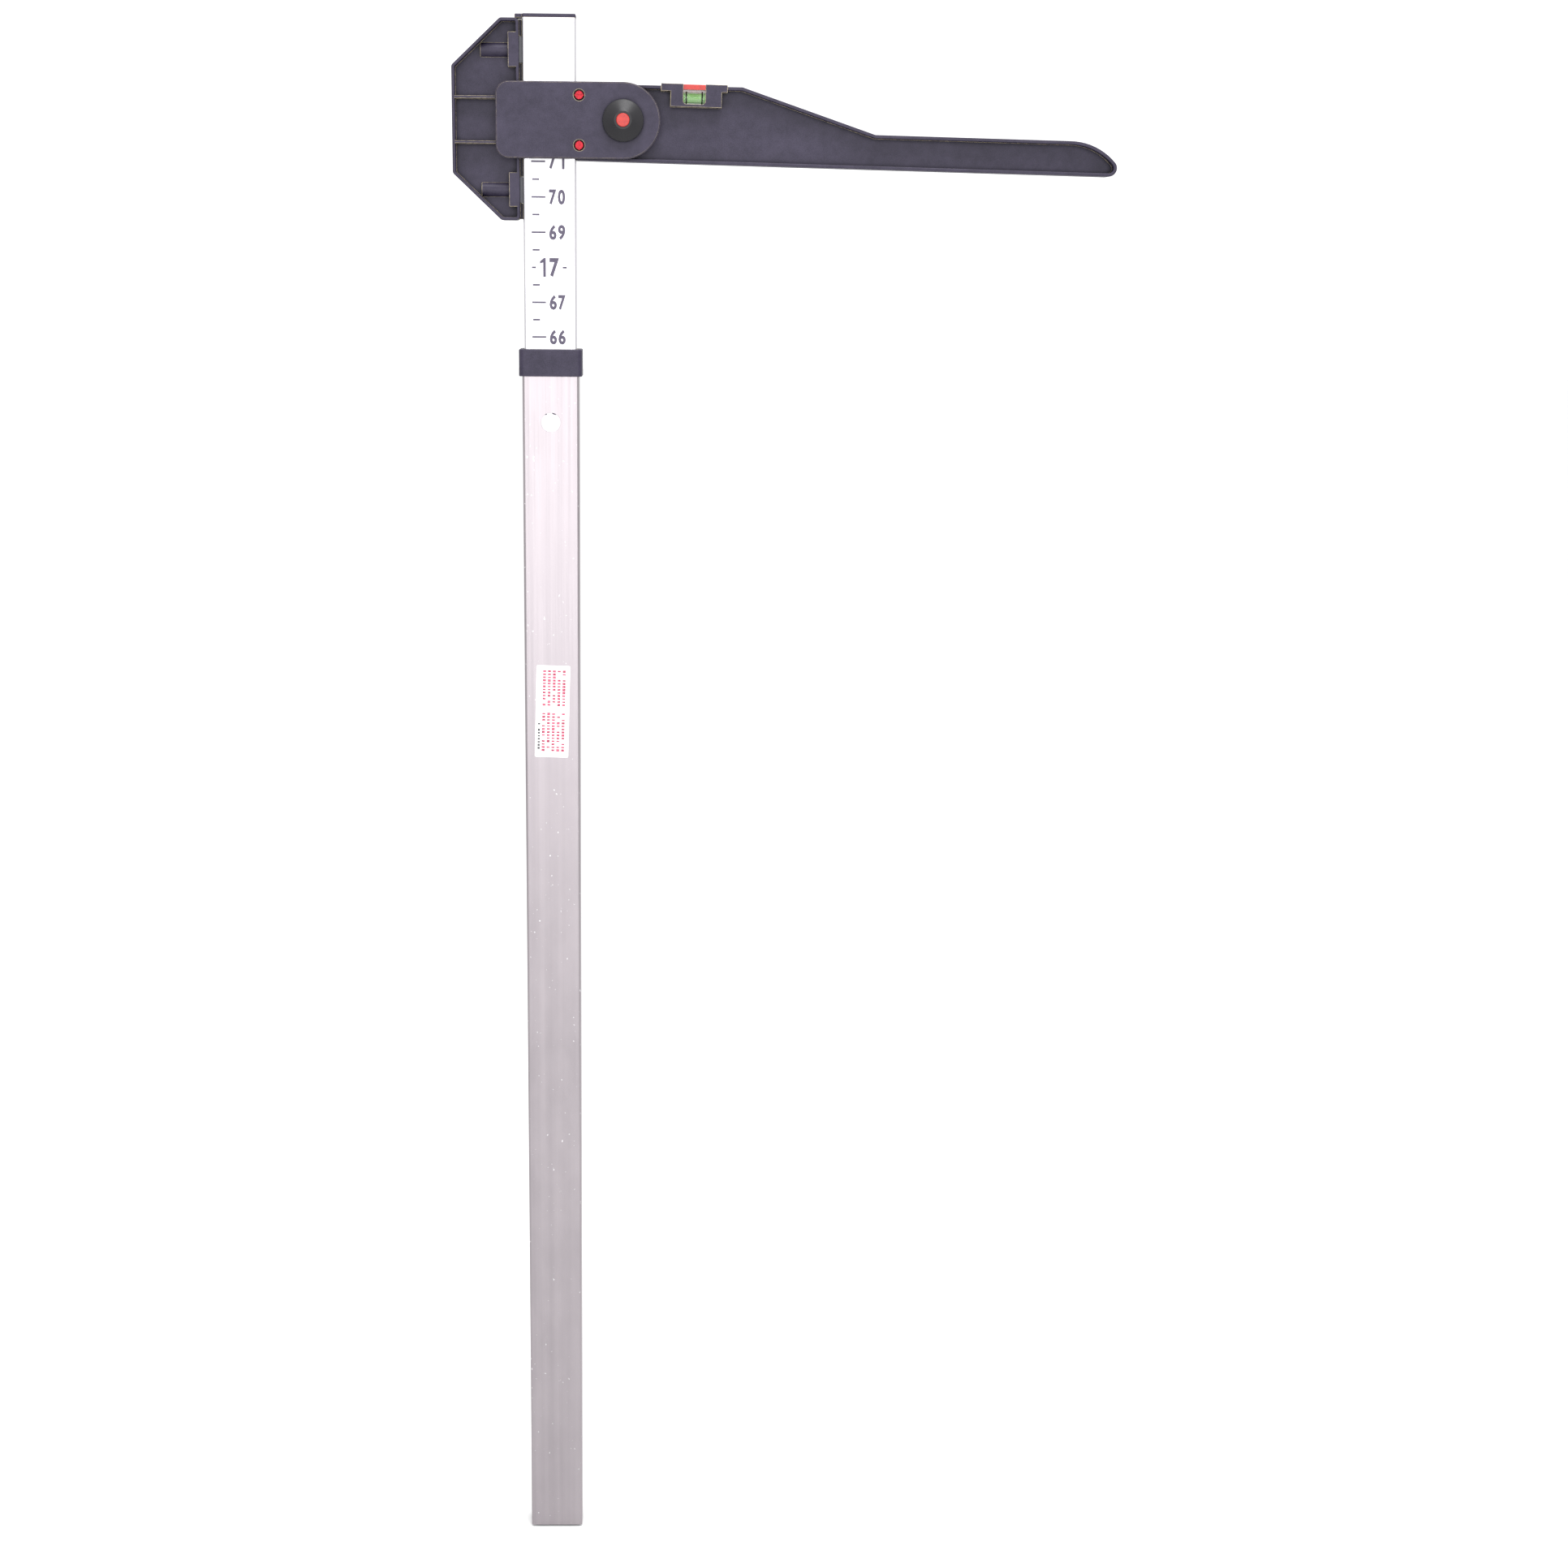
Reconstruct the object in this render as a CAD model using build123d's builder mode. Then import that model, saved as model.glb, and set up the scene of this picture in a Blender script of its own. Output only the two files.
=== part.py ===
from build123d import *
import os
from math import cos, radians, sin

# Telescopic measuring stick: +Z up the tubes, origin at the centre of the foot,
# -Y the front with the printed scale, +X the side where the arm reaches out.

# outer tube and the pieces fixed to it
OUTER_WIDTH = 42.6
OUTER_DEPTH = 22.6
WALL = 1.5
OUTER_CORNER = 2.0
INSIDE_CORNER = 0.5
OUTER_TOP = 975.0
FOOT_FLANGE = 1.8
FOOT_BEVEL = 3.0
FOOT_INSET = 0.3
FOOT_PLUG_FLOOR = 1.0
FOOT_PLUG_TOP = 26.8
PLUG_WALL = 2.5
PLUG_CORNER = 0.6
FOOT_POCKET_CORNER = 1.0
PRESS_GAP = 0.05
COLLAR_WIDTH = 47.4
COLLAR_DEPTH = 27.4
COLLAR_CORNER = 4.0
COLLAR_BOTTOM = 959.2
COLLAR_TOP = 979.2
COLLAR_TOP_ROUND = 1.0
COLLAR_BOTTOM_ROUND = 0.6
COLLAR_SIDE_GAP = 0.3
COLLAR_FACE_GAP = 0.4
LABEL_WIDTH = 26.0
LABEL_HEIGHT = 72.5
LABEL_CENTRE_Z = 702.7
LABEL_TILT = 1.5
LABEL_CORNER = 1.0
FILM = 0.15

# inner tube, which slides in the outer one
INNER_WIDTH = 39.0
INNER_DEPTH = 19.0
INNER_CORNER = 1.5
INNER_TOP = 1216.2
TAIL_FLANGE = 3.0
TAIL_WIDTH = 39.4
TAIL_DEPTH = 19.4
TAIL_CORNER = 1.2
TAIL_PLUG_LENGTH = 16.0
SCALE_WIDTH = 30.0
SCALE_BOTTOM = 316.0
SCALE_TOP = 1215.2
CAP_THICKNESS = 2.8
CAP_OVERHANG = 0.0
CAP_CORNER = 1.5
CAP_ROUND = 0.8
CAP_PLUG_LENGTH = 14.0
TAB_REACH = 25.0
TAB_DEPTH = 14.0

# lock button, one extension stroke below its hole in the outer tube
EXTENSION = 689.0
LOCK_HOLE_Z = 925.0
LOCK_HOLE_RADIUS = 7.3
BUTTON_RADIUS = 7.0
BUTTON_CLEARANCE = 0.08
BUTTON_PROUD = 0.12
BUTTON_SHANK = 4.2
BUTTON_CHAMFER = 0.8
BUTTON_FLANGE_RADIUS = 8.8
BUTTON_FLANGE = 2.0
LEAF_WIDTH = 10.0
LEAF_THICKNESS = 0.6
LEAF_LENGTH = 52.0
LEAF_FLAT = 7.0
LEAF_RISE = 4.4
LEAF_BEND = 1.8
LEAF_GAP = 0.02

# carriage, measured from the arm's pivot
PIVOT_X = 54.2
PIVOT_Z = 1144.4
PLATE_GAP = 20.1
PLATE_THICKNESS = 4.0
PLATE_HALF_HEIGHT = 27.2
PLATE_LEFT = -39.1
PLATE_CORNER = 9.5
PLATE_BEVEL = 0.7
FRAME_LEFT = -71.2
FRAME_RIGHT = -22.0
FRAME_TOP_LEFT = -35.6
FRAME_HALF_HEIGHT = 71.5
FRAME_SIDE_HALF_HEIGHT = 38.1
FRAME_CORNER = 3.2
EDGE_ROUND = 0.6
RIM = 2.2
WEB = 3.0
RIB = 1.8
RIB_HEIGHT = 15.9
LIP_RIGHT = -19.8
LIP_DEPTH = 9.0
LIP_HALF_HEIGHT = 70.6
OVERLAP = 1.0
PEG_X = -30.0
PEG_HEIGHT = 9.0
PEG_RADIUS = 2.5
PEG_LENGTH = 6.0
PEG_END_GAP = 0.5
PEG_BOSS_RADIUS = 4.6

# brake shoes and springs in the frame's two housings
SHOE_HEIGHT = 49.5
SLEEVE_LEFT = -50.3
SLEEVE_RADIUS = 5.25
SPRING_BORE = 3.7
SPRING_BORE_LEFT = -48.4
BLOCK_LEFT = -29.7
BLOCK_HALF = 12.1
POCKET_LEFT = -28.5
POCKET_HALF = 9.6
POCKET_DEPTH = 13.2
SHOE_FACE = -19.55
SHOE_BACK = -23.9
SHOE_HALF = 9.3
SHOE_DEPTH = 12.6
SHOE_CORNER = 1.0
STEM_RADIUS = 1.9
STEM_END = -38.0
COIL_RADIUS = 2.85
COIL_WIRE = 0.35
COIL_TURNS = 9

# fasteners
SCREW_X = 22.0
SCREW_HEIGHT = 17.7
SCREW_RADIUS = 1.5
SCREW_HOLE = 1.7
SCREW_HEAD_RADIUS = 3.35
SCREW_HEAD = 2.0
SCREW_ROUND = 0.7
SCREW_SLOT = 1.0
COUNTERBORE_RADIUS = 4.2
COUNTERBORE_DEPTH = 2.6
SPACER_RADIUS = 2.2
NUT_ACROSS_FLATS = 5.5
NUT_THICKNESS = 2.4
NUT_RECESS = 0.2
THREAD_GAP = 0.02
BOLT_RADIUS = 3.0
BOLT_CHAMFER = 0.5
RUNNING_GAP = 0.05
BOLT_HEAD_RADIUS = 6.5
BOLT_HEAD_HEIGHT = 3.2
BOLT_HEAD_ROUND = 2.4
WASHER_RADIUS = 12.0
WASHER_THICKNESS = 0.55

# clamp knob: heights are from its base
KNOB_RADIUS = 15.0
KNOB_SIDE = 3.2
KNOB_HEIGHT = 8.6
KNOB_NOSE_RADIUS = 6.4
KNOB_ROUND = 1.0
KNOB_GAP = 0.15
INSERT_RADIUS = 4.5
INSERT_LENGTH = 6.2
BOLT_IN_KNOB = 5.6
KNOB_CAP_RADIUS = 4.9
KNOB_CAP_FLOOR = 7.0
KNOB_CAP_TOP = 8.9
KNOB_CAP_GAP = 0.1
KNOB_CAP_ROUND = 0.7

# arm: u runs along it from the pivot, v across it
ARM_DROOP = 1.115
ARM_DEPTH = 18.9
ARM_RIM = 2.4
ARM_BOTTOM = -28.9
ARM_TOP = 26.4
HUB_RADIUS = 25.6
SHOULDER_U = 87.0
NECK_U = 186.0
NECK_V = -4.3
NOSE_U = 331.0
NOSE_RADIUS = 46.0
NOSE_END_U = 371.7
NOSE_CORNER = 6.0
TOE_TOP = -22.2
TOE_X = -34.4
HUB_BOSS_RADIUS = 12.0
BUSH_RADIUS = 5.0

# spirit level, in the arm's own u and v
LEVEL_U = 51.8
LEVEL_V = 18.1
HOLDER_DEPTH = 19.4
HOLDER_WIDE_LEFT = 27.3
HOLDER_WIDE_RIGHT = 76.0
HOLDER_LEFT = 34.4
HOLDER_RIGHT = 71.9
HOLDER_TOP = 27.45
HOLDER_SHOULDER = 22.3
HOLDER_BOTTOM = 11.4
WINDOW_HALF = 8.2
WINDOW_BOTTOM = 13.2
WINDOW_CORNER = 2.6
TROUGH_HALF = 13.2
VIAL_RADIUS = 4.75
VIAL_BORE = 3.75
VIAL_HALF = 12.9
VIAL_PLUG = 3.0
VIAL_GAP = 0.05
BUBBLE_RADIUS = 1.2
BUBBLE_HALF = 2.2
BUBBLE_GAP = 0.15
CLIP_BOTTOM = 23.6
CLIP_TOP = 27.2
CLIP_DEPTH = 18.6
CLIP_GAP = 0.1
CLIP_BRIDGE = 1.0
CLIP_ROUND = 0.5

os.makedirs("parts", exist_ok=True)


def front_plane(y, z=PIVOT_Z):
    """Front view with its origin on the tubes' centre line, at pivot height if no other is given."""
    return Plane(origin=(0, y, z), x_dir=(1, 0, 0), z_dir=(0, -1, 0))


def pivot_plane(y):
    """Front view with its origin on the arm's pivot."""
    return Plane(origin=(PIVOT_X, y, PIVOT_Z), x_dir=(1, 0, 0), z_dir=(0, -1, 0))


def arm_plane(y=0):
    """Front view turned with the drooping arm: x is u and y is v."""
    lean = (cos(radians(ARM_DROOP)), 0, -sin(radians(ARM_DROOP)))
    return Plane(origin=(PIVOT_X, y, PIVOT_Z), x_dir=lean, z_dir=(0, -1, 0))


def side_plane(x, z):
    """View from the right with its origin on the tubes' centre line."""
    return Plane(origin=(x, 0, z), x_dir=(0, 1, 0), z_dir=(1, 0, 0))


def block(left, bottom, right, top):
    """Rectangle between two corners of the sketch."""
    middle = ((left + right) / 2, (bottom + top) / 2)
    with Locations(middle):
        return Rectangle(right - left, top - bottom)


def tube_section(width, depth, corner):
    """Rounded rectangular tube section."""
    RectangleRounded(width, depth, corner)
    RectangleRounded(width - 2 * WALL, depth - 2 * WALL, INSIDE_CORNER, mode=Mode.SUBTRACT)


# ---------------------------------------------------------------- outer section

with BuildPart() as outer_tube:
    with BuildSketch(Plane.XY.offset(FOOT_FLANGE)):
        tube_section(OUTER_WIDTH, OUTER_DEPTH, OUTER_CORNER)
    extrude(amount=OUTER_TOP - FOOT_FLANGE)
    with BuildSketch(front_plane(0, LOCK_HOLE_Z)):
        Circle(LOCK_HOLE_RADIUS)
    extrude(amount=OUTER_DEPTH, mode=Mode.SUBTRACT)
outer_tube.part.label = "outer_tube"
export_step(outer_tube.part, "parts/outer_tube.step")

outer_bore_width = OUTER_WIDTH - 2 * WALL
outer_bore_depth = OUTER_DEPTH - 2 * WALL
flange_width = OUTER_WIDTH - 2 * FOOT_INSET
flange_depth = OUTER_DEPTH - 2 * FOOT_INSET
with BuildPart() as foot_plug:
    with BuildSketch():
        RectangleRounded(flange_width - 2 * FOOT_BEVEL, flange_depth - 2 * FOOT_BEVEL, OUTER_CORNER)
    with BuildSketch(Plane.XY.offset(FOOT_FLANGE)):
        RectangleRounded(flange_width, flange_depth, OUTER_CORNER)
    loft()
    with BuildSketch(Plane.XY.offset(FOOT_FLANGE)):
        RectangleRounded(outer_bore_width - 2 * PRESS_GAP, outer_bore_depth - 2 * PRESS_GAP, PLUG_CORNER)
    extrude(amount=FOOT_PLUG_TOP - FOOT_FLANGE)
    with BuildSketch(Plane.XY.offset(FOOT_PLUG_TOP)):
        pocket = (outer_bore_width - 2 * PLUG_WALL, outer_bore_depth - 2 * PLUG_WALL)
        RectangleRounded(*pocket, FOOT_POCKET_CORNER)
    extrude(amount=FOOT_FLANGE + FOOT_PLUG_FLOOR - FOOT_PLUG_TOP, mode=Mode.SUBTRACT)
foot_plug.part.label = "foot_plug"
export_step(foot_plug.part, "parts/foot_plug.step")

with BuildPart() as collar:
    with BuildSketch(Plane.XY.offset(COLLAR_BOTTOM)):
        RectangleRounded(COLLAR_WIDTH, COLLAR_DEPTH, COLLAR_CORNER)
    extrude(amount=COLLAR_TOP - COLLAR_BOTTOM)
    fillet(collar.faces().sort_by(Axis.Z)[-1].edges(), COLLAR_TOP_ROUND)
    fillet(collar.faces().sort_by(Axis.Z)[0].edges(), COLLAR_BOTTOM_ROUND)
    with BuildSketch(Plane.XY.offset(COLLAR_BOTTOM)):
        RectangleRounded(OUTER_WIDTH + 2 * PRESS_GAP, OUTER_DEPTH + 2 * PRESS_GAP, OUTER_CORNER)
    extrude(amount=OUTER_TOP - COLLAR_BOTTOM, mode=Mode.SUBTRACT)
    with BuildSketch(Plane.XY.offset(OUTER_TOP)):
        RectangleRounded(INNER_WIDTH + 2 * COLLAR_SIDE_GAP, INNER_DEPTH + 2 * COLLAR_FACE_GAP, INNER_CORNER)
    extrude(amount=COLLAR_TOP - OUTER_TOP, mode=Mode.SUBTRACT)
collar.part.label = "collar"
export_step(collar.part, "parts/collar.step")

with BuildPart() as label_sticker:
    with BuildSketch(front_plane(-OUTER_DEPTH / 2, LABEL_CENTRE_Z)):
        RectangleRounded(LABEL_WIDTH, LABEL_HEIGHT, LABEL_CORNER, rotation=-LABEL_TILT)
    extrude(amount=FILM)
label_sticker.part.label = "label_sticker"
export_step(label_sticker.part, "parts/label_sticker.step")

# ---------------------------------------------------------------- inner section

inner_bottom = FOOT_PLUG_TOP + TAIL_FLANGE
button_z = LOCK_HOLE_Z - EXTENSION
inner_bore_width = INNER_WIDTH - 2 * WALL
inner_bore_depth = INNER_DEPTH - 2 * WALL
with BuildPart() as inner_tube:
    with BuildSketch(Plane.XY.offset(inner_bottom)):
        tube_section(INNER_WIDTH, INNER_DEPTH, INNER_CORNER)
    extrude(amount=INNER_TOP - inner_bottom)
    with BuildSketch(front_plane(0, button_z)):
        Circle(BUTTON_RADIUS + BUTTON_CLEARANCE)
    extrude(amount=INNER_DEPTH, mode=Mode.SUBTRACT)
inner_tube.part.label = "inner_tube"
export_step(inner_tube.part, "parts/inner_tube.step")

with BuildPart() as scale_strip:
    with BuildSketch(front_plane(-INNER_DEPTH / 2, 0)):
        block(-SCALE_WIDTH / 2, SCALE_BOTTOM, SCALE_WIDTH / 2, SCALE_TOP)
    extrude(amount=FILM)
scale_strip.part.label = "scale_strip"
export_step(scale_strip.part, "parts/scale_strip.step")

cap_right = INNER_WIDTH / 2 + CAP_OVERHANG
cap_depth = INNER_DEPTH + 2 * CAP_OVERHANG
with BuildPart() as top_cap:
    with BuildSketch(Plane.XY.offset(INNER_TOP)):
        RectangleRounded(2 * cap_right, cap_depth, CAP_CORNER)
        block(-TAB_REACH, -TAB_DEPTH / 2, 0, TAB_DEPTH / 2)
    extrude(amount=CAP_THICKNESS)
    fillet(top_cap.faces().sort_by(Axis.Z)[-1].edges(), CAP_ROUND)
    with BuildSketch(Plane.XY.offset(INNER_TOP)):
        RectangleRounded(inner_bore_width - 2 * PRESS_GAP, inner_bore_depth - 2 * PRESS_GAP, PLUG_CORNER)
        Rectangle(inner_bore_width - 2 * PLUG_WALL, inner_bore_depth - 2 * PLUG_WALL, mode=Mode.SUBTRACT)
    extrude(amount=-CAP_PLUG_LENGTH)
top_cap.part.label = "top_cap"
export_step(top_cap.part, "parts/top_cap.step")

with BuildPart() as tail_plug:
    with BuildSketch(Plane.XY.offset(FOOT_PLUG_TOP)):
        RectangleRounded(TAIL_WIDTH, TAIL_DEPTH, TAIL_CORNER)
    extrude(amount=TAIL_FLANGE)
    with BuildSketch(Plane.XY.offset(inner_bottom)):
        RectangleRounded(inner_bore_width - 2 * PRESS_GAP, inner_bore_depth - 2 * PRESS_GAP, PLUG_CORNER)
        Rectangle(inner_bore_width - 2 * PLUG_WALL, inner_bore_depth - 2 * PLUG_WALL, mode=Mode.SUBTRACT)
    extrude(amount=TAIL_PLUG_LENGTH)
tail_plug.part.label = "tail_plug"
export_step(tail_plug.part, "parts/tail_plug.step")

button_front = -INNER_DEPTH / 2 - BUTTON_PROUD
flange_front = button_front + BUTTON_SHANK
flange_back = flange_front + BUTTON_FLANGE
with BuildPart() as lock_button:
    with BuildSketch(front_plane(flange_front, button_z)):
        Circle(BUTTON_RADIUS)
    extrude(amount=BUTTON_SHANK)
    chamfer(lock_button.faces().sort_by(Axis.Y)[0].edges(), BUTTON_CHAMFER)
    with BuildSketch(front_plane(flange_back, button_z)):
        Circle(BUTTON_FLANGE_RADIUS)
    extrude(amount=BUTTON_FLANGE)
lock_button.part.label = "lock_button"
export_step(lock_button.part, "parts/lock_button.step")

leaf_front = flange_back + LEAF_THICKNESS / 2 + LEAF_GAP
leaf_back = inner_bore_depth / 2 - LEAF_THICKNESS / 2 - LEAF_GAP
with BuildPart() as lock_spring:
    with BuildSketch(side_plane(-LEAF_WIDTH / 2, button_z)):
        with BuildLine():
            FilletPolyline(
                (leaf_front, LEAF_FLAT),
                (leaf_front, -LEAF_FLAT),
                (leaf_back - LEAF_RISE, -LEAF_LENGTH),
                (leaf_back, -LEAF_LENGTH),
                (leaf_back, LEAF_FLAT),
                radius=LEAF_BEND,
            )
        trace(line_width=LEAF_THICKNESS)
    extrude(amount=LEAF_WIDTH)
lock_spring.part.label = "lock_spring"
export_step(lock_spring.part, "parts/lock_spring.step")

# --------------------------------------------------------------------- carriage


def frame_outline(inset):
    """Six-sided outline of the frame, symmetrical about the pivot's height."""
    with BuildSketch(mode=Mode.PRIVATE) as outline:
        with BuildLine():
            Polyline(
                (FRAME_RIGHT, FRAME_HALF_HEIGHT),
                (FRAME_TOP_LEFT, FRAME_HALF_HEIGHT),
                (FRAME_LEFT, FRAME_SIDE_HALF_HEIGHT),
                (FRAME_LEFT, -FRAME_SIDE_HALF_HEIGHT),
                (FRAME_TOP_LEFT, -FRAME_HALF_HEIGHT),
                (FRAME_RIGHT, -FRAME_HALF_HEIGHT),
                close=True,
            )
        make_face()
        fillet(outline.vertices(), FRAME_CORNER)
        if inset:
            offset(amount=-inset, mode=Mode.REPLACE)
    return outline.sketch


frame_half = PLATE_GAP / 2
peg_places = [(PEG_X, PEG_HEIGHT), (PEG_X, -PEG_HEIGHT)]
sleeve_length = BLOCK_LEFT - SLEEVE_LEFT + OVERLAP
with BuildPart() as carriage_frame:
    with BuildSketch(front_plane(0)):
        add(frame_outline(0))
    extrude(amount=frame_half, both=True)
    for side in (-1, 1):
        with BuildSketch(front_plane(side * frame_half)):
            add(frame_outline(RIM))
        extrude(amount=side * (frame_half - WEB / 2), mode=Mode.SUBTRACT)
    rim_faces = carriage_frame.faces().filter_by(Axis.Y).sort_by(Axis.Y)
    fillet(rim_faces[0].edges() + rim_faces[-1].edges(), EDGE_ROUND)
    with BuildSketch(front_plane(0)):
        block(FRAME_RIGHT - OVERLAP, -LIP_HALF_HEIGHT, LIP_RIGHT, LIP_HALF_HEIGHT)
    extrude(amount=LIP_DEPTH / 2, both=True)
    with BuildSketch(front_plane(0)):
        for sign in (-1, 1):
            rib = sign * RIB_HEIGHT
            housing = sign * SHOE_HEIGHT
            block(FRAME_LEFT + OVERLAP, rib - RIB / 2, FRAME_RIGHT - OVERLAP, rib + RIB / 2)
            block(BLOCK_LEFT, housing - BLOCK_HALF, FRAME_RIGHT - OVERLAP, housing + BLOCK_HALF)
        with Locations(peg_places):
            Circle(PEG_BOSS_RADIUS)
    extrude(amount=frame_half, both=True)
    for sign in (-1, 1):
        with BuildSketch(side_plane(SLEEVE_LEFT, PIVOT_Z + sign * SHOE_HEIGHT)):
            Circle(SLEEVE_RADIUS)
        extrude(amount=sleeve_length)
        with BuildSketch(side_plane(SPRING_BORE_LEFT, PIVOT_Z + sign * SHOE_HEIGHT)):
            Circle(SPRING_BORE)
        extrude(amount=POCKET_LEFT - SPRING_BORE_LEFT + OVERLAP, mode=Mode.SUBTRACT)
        with BuildSketch(side_plane(POCKET_LEFT, PIVOT_Z + sign * SHOE_HEIGHT)):
            Rectangle(POCKET_DEPTH, 2 * POCKET_HALF)
        extrude(amount=LIP_RIGHT - POCKET_LEFT + OVERLAP, mode=Mode.SUBTRACT)
    for side in (-1, 1):
        with BuildSketch(front_plane(side * frame_half)):
            with Locations(peg_places):
                Circle(PEG_RADIUS + PRESS_GAP)
        extrude(amount=side * (PEG_LENGTH + PEG_END_GAP), mode=Mode.SUBTRACT)
carriage_frame.part.label = "carriage_frame"
export_step(carriage_frame.part, "parts/carriage_frame.step")


def plate_outline():
    """Plate with two rounded left corners and a right end rounded about the pivot."""
    with BuildSketch(mode=Mode.PRIVATE) as outline:
        block(PLATE_LEFT, -PLATE_HALF_HEIGHT, PIVOT_X, PLATE_HALF_HEIGHT)
        fillet(outline.vertices().group_by(Axis.X)[0], PLATE_CORNER)
        with Locations((PIVOT_X, 0)):
            Circle(PLATE_HALF_HEIGHT)
    return outline.sketch


plate_outside = frame_half + PLATE_THICKNESS
screw_places = [(SCREW_X, SCREW_HEIGHT), (SCREW_X, -SCREW_HEIGHT)]
with BuildPart() as front_plate:
    with BuildSketch(front_plane(-frame_half)):
        add(plate_outline())
    extrude(amount=PLATE_THICKNESS)
    chamfer(front_plate.faces().sort_by(Axis.Y)[0].edges(), PLATE_BEVEL)
    with BuildSketch(front_plane(-frame_half)):
        with Locations(screw_places):
            Circle(SCREW_HOLE)
        with Locations((PIVOT_X, 0)):
            Circle(BOLT_RADIUS + RUNNING_GAP)
    extrude(amount=PLATE_THICKNESS, mode=Mode.SUBTRACT)
    with BuildSketch(front_plane(-plate_outside)):
        with Locations(screw_places):
            Circle(COUNTERBORE_RADIUS)
    extrude(amount=-COUNTERBORE_DEPTH, mode=Mode.SUBTRACT)
    with BuildSketch(front_plane(-frame_half)):
        with Locations(peg_places):
            Circle(PEG_RADIUS)
    extrude(amount=-PEG_LENGTH)
front_plate.part.label = "front_plate"
export_step(front_plate.part, "parts/front_plate.step")

with BuildPart() as rear_plate:
    with BuildSketch(front_plane(frame_half)):
        add(plate_outline())
    extrude(amount=-PLATE_THICKNESS)
    chamfer(rear_plate.faces().sort_by(Axis.Y)[-1].edges(), PLATE_BEVEL)
    with BuildSketch(front_plane(frame_half)):
        with Locations(screw_places):
            Circle(SCREW_HOLE)
        with Locations((PIVOT_X, 0)):
            Circle(BOLT_RADIUS + RUNNING_GAP)
    extrude(amount=-PLATE_THICKNESS, mode=Mode.SUBTRACT)
    with BuildSketch(front_plane(plate_outside)):
        with Locations(screw_places):
            RegularPolygon(NUT_ACROSS_FLATS / 2 + PRESS_GAP, 6, major_radius=False)
    extrude(amount=NUT_THICKNESS + NUT_RECESS, mode=Mode.SUBTRACT)
    with BuildSketch(front_plane(frame_half)):
        with Locations(peg_places):
            Circle(PEG_RADIUS)
    extrude(amount=PEG_LENGTH)
rear_plate.part.label = "rear_plate"
export_step(rear_plate.part, "parts/rear_plate.step")

with BuildPart() as plate_spacers:
    with BuildSketch(front_plane(0)):
        with Locations(screw_places):
            Circle(SPACER_RADIUS)
            Circle(SCREW_HOLE, mode=Mode.SUBTRACT)
    extrude(amount=frame_half, both=True)
plate_spacers.part.label = "plate_spacers"
export_step(plate_spacers.part, "parts/plate_spacers.step")

head_back = -plate_outside + COUNTERBORE_DEPTH
head_front = head_back - SCREW_HEAD
shank_end = plate_outside - NUT_RECESS
with BuildPart() as cover_screws:
    with BuildSketch(front_plane(head_back)):
        with Locations(screw_places):
            Circle(SCREW_HEAD_RADIUS)
    extrude(amount=SCREW_HEAD)
    fillet(cover_screws.faces().filter_by(Axis.Y).group_by(Axis.Y)[0].edges(), SCREW_ROUND)
    with BuildSketch(front_plane(head_back)):
        with Locations(screw_places):
            Circle(SCREW_RADIUS)
    extrude(amount=-(shank_end - head_back))
    with BuildSketch(front_plane(head_front)):
        with Locations(screw_places[0]):
            Rectangle(3 * SCREW_HEAD_RADIUS, SCREW_SLOT)
        with Locations(screw_places[1]):
            Rectangle(SCREW_SLOT, 3 * SCREW_HEAD_RADIUS)
    extrude(amount=-SCREW_HEAD / 2, mode=Mode.SUBTRACT)
cover_screws.part.label = "cover_screws"
export_step(cover_screws.part, "parts/cover_screws.step")

with BuildPart() as screw_nuts:
    with BuildSketch(front_plane(shank_end)):
        with Locations(screw_places):
            RegularPolygon(NUT_ACROSS_FLATS / 2, 6, major_radius=False)
            Circle(SCREW_RADIUS + THREAD_GAP, mode=Mode.SUBTRACT)
    extrude(amount=NUT_THICKNESS)
screw_nuts.part.label = "screw_nuts"
export_step(screw_nuts.part, "parts/screw_nuts.step")

# ------------------------------------------------- pivot bolt, washers and knob

knob_base = -plate_outside - KNOB_GAP
bolt_front = knob_base - BOLT_IN_KNOB
with BuildPart() as pivot_bolt:
    with BuildSketch(pivot_plane(plate_outside)):
        Circle(BOLT_RADIUS)
    extrude(amount=plate_outside - bolt_front)
    chamfer(pivot_bolt.faces().sort_by(Axis.Y)[0].edges(), BOLT_CHAMFER)
    with BuildSketch(pivot_plane(plate_outside)):
        Circle(BOLT_HEAD_RADIUS)
    extrude(amount=-BOLT_HEAD_HEIGHT)
    fillet(pivot_bolt.faces().sort_by(Axis.Y)[-1].edges(), BOLT_HEAD_ROUND)
pivot_bolt.part.label = "pivot_bolt"
export_step(pivot_bolt.part, "parts/pivot_bolt.step")

with BuildPart() as friction_washers:
    for side in (-1, 1):
        with BuildSketch(pivot_plane(side * frame_half)):
            Circle(WASHER_RADIUS)
            Circle(BOLT_RADIUS + RUNNING_GAP, mode=Mode.SUBTRACT)
        extrude(amount=side * WASHER_THICKNESS)
friction_washers.part.label = "friction_washers"
export_step(friction_washers.part, "parts/friction_washers.step")

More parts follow.
